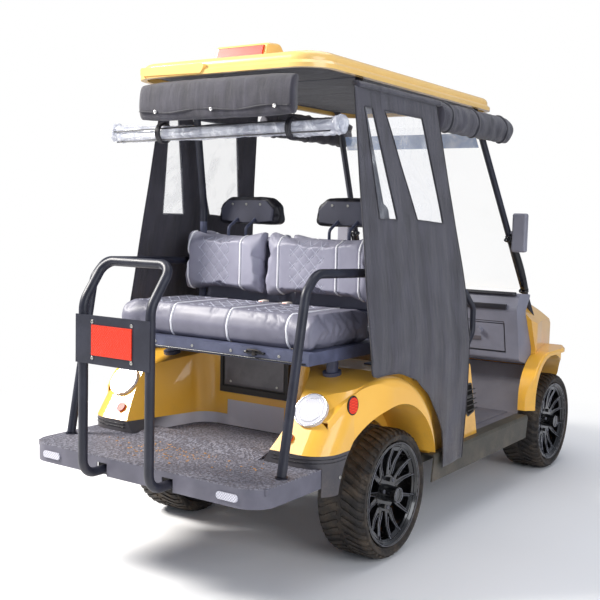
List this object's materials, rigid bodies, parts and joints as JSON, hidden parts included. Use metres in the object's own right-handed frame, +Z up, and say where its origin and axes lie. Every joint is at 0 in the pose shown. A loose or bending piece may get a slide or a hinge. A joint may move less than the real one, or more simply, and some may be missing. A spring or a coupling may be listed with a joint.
{
  "type": "golf cart",
  "caption": "Open golf cart with two forward seats, a rear flip seat over a foot platform, roof, windshield and side curtains on turning, steered wheels.",
  "frame": {"origin": "under the middle of the length and width, on the ground", "axes": "+X forward along the cart, +Y to its left, +Z up"},
  "size_m": [3.011, 1.1974, 1.8898],
  "materials": {
    "body_paint": "glossy yellow paint on moulded panels",
    "roof_plastic": "satin yellow roof moulding",
    "dark_plastic": "black grained plastic",
    "grey_plastic": "grey grained plastic",
    "black_steel": "black powder coat",
    "frame_steel": "black chassis paint",
    "spring_steel": "dull black steel",
    "tyre": "dusty black rubber",
    "rim_black": "gloss black alloy",
    "seat_vinyl": "lilac grey quilted vinyl with white piping",
    "headrest_vinyl": "black vinyl",
    "seat_pan": "blue grey coated",
    "platform_plastic": "studded grey plastic",
    "clear_lens": "ribbed clear lens in a bright ring",
    "red_lens": "red reflector",
    "clear_sheet": "clear acrylic",
    "clear_vinyl": "flexible clear vinyl",
    "cloth": "dark grey coated canvas",
    "plate_white": "blank plate in a black frame",
    "mirror_housing": "black plastic",
    "battery": "black case",
    "wheel_grip": "black soft grip"
  },
  "bodies": {
    "chassis": {"frame_rails": "frame_steel", "rear_axle": "spring_steel", "leaf_springs": "spring_steel", "front_axle_beam": "spring_steel", "battery_block": "battery", "floor_pan": "grey_plastic", "rockers": "dark_plastic", "rear_body": "body_paint", "rear_lower_panel": "grey_plastic", "seat_base": "body_paint", "seat_base_vents": "dark_plastic", "seat_frame": "seat_pan", "front_seat_back": "seat_vinyl", "rear_seat_back": "seat_vinyl", "headrests": "headrest_vinyl", "hip_restraints": "black_steel", "platform": "platform_plastic", "grab_rails": "black_steel", "hoop": "black_steel", "roof": "roof_plastic", "roof_frame": "black_steel", "windshield": "clear_sheet", "front_cowl": "body_paint", "front_bumper": "dark_plastic", "headlamps": "clear_lens", "dashboard": "grey_plastic", "driver_controls": "black_steel", "side_mirrors": "mirror_housing", "tail_lamps": "clear_lens", "red_lenses": "red_lens", "number_plate": "plate_white", "side_curtains": "cloth", "curtain_panes": "clear_vinyl", "edge_rolls": "cloth", "rear_window_roll": "clear_vinyl"},
    "steering_wheel": {"steering_wheel": "wheel_grip"},
    "knuckle_left": {"knuckle_left": "spring_steel"},
    "knuckle_right": {"knuckle_right": "spring_steel"},
    "tie_rod": {"tie_rod": "spring_steel"},
    "wheel_front_left": {"tyre_front_left": "tyre", "rim_front_left": "rim_black"},
    "wheel_front_right": {"tyre_front_right": "tyre", "rim_front_right": "rim_black"},
    "wheel_rear_left": {"tyre_rear_left": "tyre", "rim_rear_left": "rim_black"},
    "wheel_rear_right": {"tyre_rear_right": "tyre", "rim_rear_right": "rim_black"},
    "front_seat": {"front_seat_cushion": "seat_vinyl"},
    "rear_seat": {"rear_seat_cushion": "seat_vinyl"},
    "glovebox": {"glovebox_lid": "grey_plastic"}
  },
  "joints": [
    {"name": "steering", "type": "hinge", "parent": "chassis", "child": "steering_wheel", "pos_m": [0.4255, 0.25, 0.985], "axis": [-0.788, 0, 0.6157], "range_deg": [-405, 405]},
    {"name": "steer_left", "type": "hinge", "parent": "chassis", "child": "knuckle_left", "pos_m": [1.0935, 0.372, 0.243], "axis": [0, 0, 1], "range_deg": [-27, 27]},
    {"name": "steer_right", "type": "hinge", "parent": "chassis", "child": "knuckle_right", "pos_m": [1.0935, -0.372, 0.243], "axis": [0, 0, 1], "range_deg": [-27, 27]},
    {"name": "tie_rod_end", "type": "hinge", "parent": "knuckle_left", "child": "tie_rod", "pos_m": [0.9885, 0.372, 0.169], "axis": [0, 0, 1], "range_deg": [-27, 27]},
    {"name": "front_seat_lid", "type": "hinge", "parent": "chassis", "child": "front_seat", "pos_m": [-0.3275, 0, 0.6603], "axis": [0, -1, 0], "range_deg": [0, 70]},
    {"name": "rear_seat_flip", "type": "hinge", "parent": "chassis", "child": "rear_seat", "pos_m": [-1.0355, 0, 0.8083], "axis": [0, -1, 0], "range_deg": [0, 100]},
    {"name": "glovebox_door", "type": "hinge", "parent": "chassis", "child": "glovebox", "pos_m": [0.66775, -0.33, 0.64335], "axis": [0, -1, 0], "range_deg": [0, 80]},
    {"name": "wheel_front_left_spin", "type": "hinge", "parent": "knuckle_left", "child": "wheel_front_left", "pos_m": [1.0935, 0.4565, 0.243], "axis": [0, 1, 0], "continuous": true},
    {"name": "wheel_front_right_spin", "type": "hinge", "parent": "knuckle_right", "child": "wheel_front_right", "pos_m": [1.0935, -0.4565, 0.243], "axis": [0, 1, 0], "continuous": true},
    {"name": "wheel_rear_left_spin", "type": "hinge", "parent": "chassis", "child": "wheel_rear_left", "pos_m": [-0.5895, 0.4565, 0.243], "axis": [0, 1, 0], "continuous": true},
    {"name": "wheel_rear_right_spin", "type": "hinge", "parent": "chassis", "child": "wheel_rear_right", "pos_m": [-0.5895, -0.4565, 0.243], "axis": [0, 1, 0], "continuous": true}
  ],
  "couplings": [
    {"joint": "steer_left", "follows": "steering", "ratio": 0.066667},
    {"joint": "steer_right", "follows": "steering", "ratio": 0.066667},
    {"joint": "tie_rod_end", "follows": "steering", "ratio": -0.066667}
  ]
}
